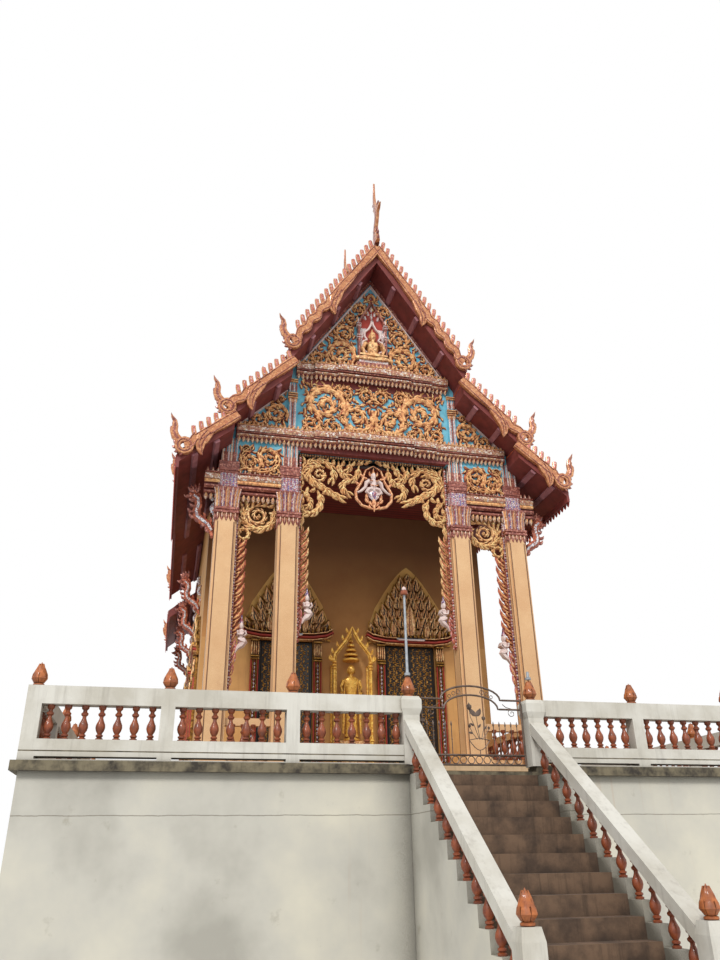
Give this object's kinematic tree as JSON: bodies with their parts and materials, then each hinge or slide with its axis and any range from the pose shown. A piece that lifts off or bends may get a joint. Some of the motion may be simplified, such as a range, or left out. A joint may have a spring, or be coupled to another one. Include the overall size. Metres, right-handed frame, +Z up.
{
  "type": "temple ordination hall",
  "caption": "Thai ordination hall with a columned porch and tiered gable roof, on a walled terrace with balustrade, stair and hinged iron gate; porch doors open inward.",
  "frame": {"origin": "middle of the footprint at ground level, on the foot of the stair and terrace wall", "axes": "+Z up, +Y from the stair towards the back of the hall, +X to the right of someone facing the porch"},
  "size_m": [11.732, 25.9576, 18.7991],
  "materials": {
    "earth_fill": "rough",
    "weathered_render": "rough",
    "dark_coping": "rough",
    "white_concrete": "rough",
    "brown_concrete": "rough",
    "glazed_red": "gloss",
    "terracotta": "matte",
    "gate_iron": "satin",
    "lamp_steel": "satin",
    "plinth_render": "rough",
    "ochre_render": "matte",
    "black_lacquer": "gloss",
    "peach_terrazzo": "polished",
    "gilded_mosaic": "faceted",
    "gilded_stucco": "satin",
    "red_gold_moulding": "satin",
    "turquoise_stucco": "matte",
    "maroon_timber": "matte",
    "roof_tile": "gloss",
    "orange_glass": "gloss"
  },
  "bodies": {
    "hall": {"balusters": "glazed_red", "balustrade_front": "white_concrete", "balustrade_rear": "white_concrete", "balustrade_sides": "white_concrete", "buddha_image": "gilded_stucco", "ceiling": "maroon_timber", "centre_arch_screen": "gilded_stucco", "chofas": "orange_glass", "column_capitals": "gilded_mosaic", "cornices": "red_gold_moulding", "door_surrounds": "gilded_stucco", "flame_strips": "gilded_stucco", "front_bargeboards": "orange_glass", "front_pediment": "gilded_stucco", "front_wall_piers": "ochre_render", "front_wall_upper": "ochre_render", "gate_hinges": "gate_iron", "gate_posts": "white_concrete", "hall_base": "plinth_render", "lamp_standard": "lamp_steel", "lotus_finials": "terracotta", "main_roof": "roof_tile", "naga_brackets": "gilded_stucco", "niche": "gilded_stucco", "porch_beams": "ochre_render", "porch_columns": "peach_terrazzo", "porch_rails": "peach_terrazzo", "porch_roof": "roof_tile", "rear_bargeboards": "orange_glass", "rear_gables": "ochre_render", "rear_roof": "roof_tile", "rear_wall": "ochre_render", "retaining_wall": "weathered_render", "side_arch_screens": "gilded_stucco", "side_panels": "turquoise_stucco", "side_walls": "ochre_render", "stair_flight": "brown_concrete", "stair_handrails": "white_concrete", "stair_newels": "white_concrete", "stair_stringers": "brown_concrete", "terrace_coping": "dark_coping", "terrace_fill": "earth_fill", "window_shutters": "black_lacquer", "window_surrounds": "gilded_stucco"},
    "gate": {"gate_leaf": "gate_iron"},
    "left_outer_door": {"left_door_outer_leaf": "black_lacquer"},
    "left_inner_door": {"left_door_inner_leaf": "black_lacquer"},
    "right_inner_door": {"right_door_inner_leaf": "black_lacquer"},
    "right_outer_door": {"right_door_outer_leaf": "black_lacquer"}
  },
  "joints": [
    {"name": "gate_hinge", "type": "hinge", "parent": "hall", "child": "gate", "pos_m": [-0.7275, -9.58125, 2.688], "axis": [0, 0, 1], "range_deg": [0, 90]},
    {"name": "left_outer_door_hinge", "type": "hinge", "parent": "hall", "child": "left_outer_door", "pos_m": [-2.132, -1.72525, 3.232], "axis": [0, 0, 1], "range_deg": [0, 90]},
    {"name": "left_inner_door_hinge", "type": "hinge", "parent": "hall", "child": "left_inner_door", "pos_m": [-0.906, -1.72525, 3.232], "axis": [0, 0, -1], "range_deg": [0, 90]},
    {"name": "right_inner_door_hinge", "type": "hinge", "parent": "hall", "child": "right_inner_door", "pos_m": [0.906, -1.72525, 3.232], "axis": [0, 0, 1], "range_deg": [0, 90]},
    {"name": "right_outer_door_hinge", "type": "hinge", "parent": "hall", "child": "right_outer_door", "pos_m": [2.132, -1.72525, 3.232], "axis": [0, 0, -1], "range_deg": [0, 90]}
  ]
}
